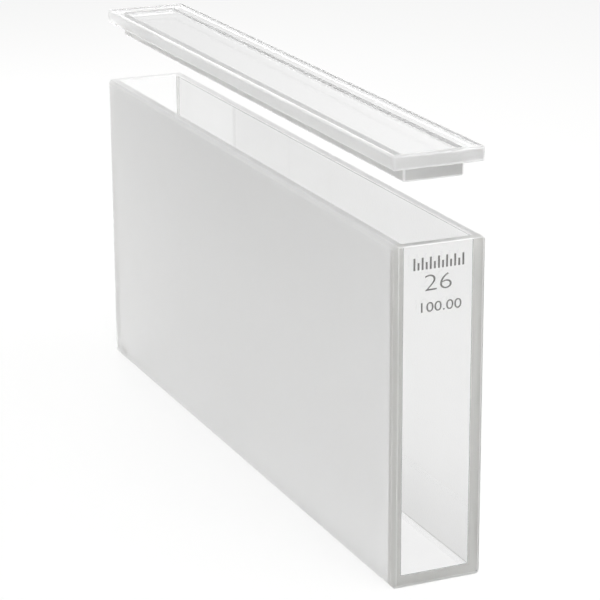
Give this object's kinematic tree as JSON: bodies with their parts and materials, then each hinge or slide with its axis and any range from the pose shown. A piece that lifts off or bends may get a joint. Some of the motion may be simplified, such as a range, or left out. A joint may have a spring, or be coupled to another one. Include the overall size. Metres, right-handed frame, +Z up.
{
  "type": "long-path cuvette with lid",
  "caption": "Narrow open-topped trough of fused clear quartz plates with polished end windows and ground long sides, and a loose flat lid with a locating plug lifted above it.",
  "frame": {"origin": "centre of the cell's footprint, on the underside of its base", "axes": "+X along the light path towards the marked window, +Y across the chamber, +Z up out of the open mouth"},
  "size_m": [0.1024, 0.0126, 0.0562],
  "materials": {
    "cell_quartz": "fused quartz: end windows, chamber, rim and underside polished, long sides and bevels finely ground",
    "lid_quartz": "fused quartz: large faces polished, edges and plug sides finely ground"
  },
  "bodies": {
    "root": {"cell": "cell_quartz", "lid": "lid_quartz"}
  },
  "joints": []
}
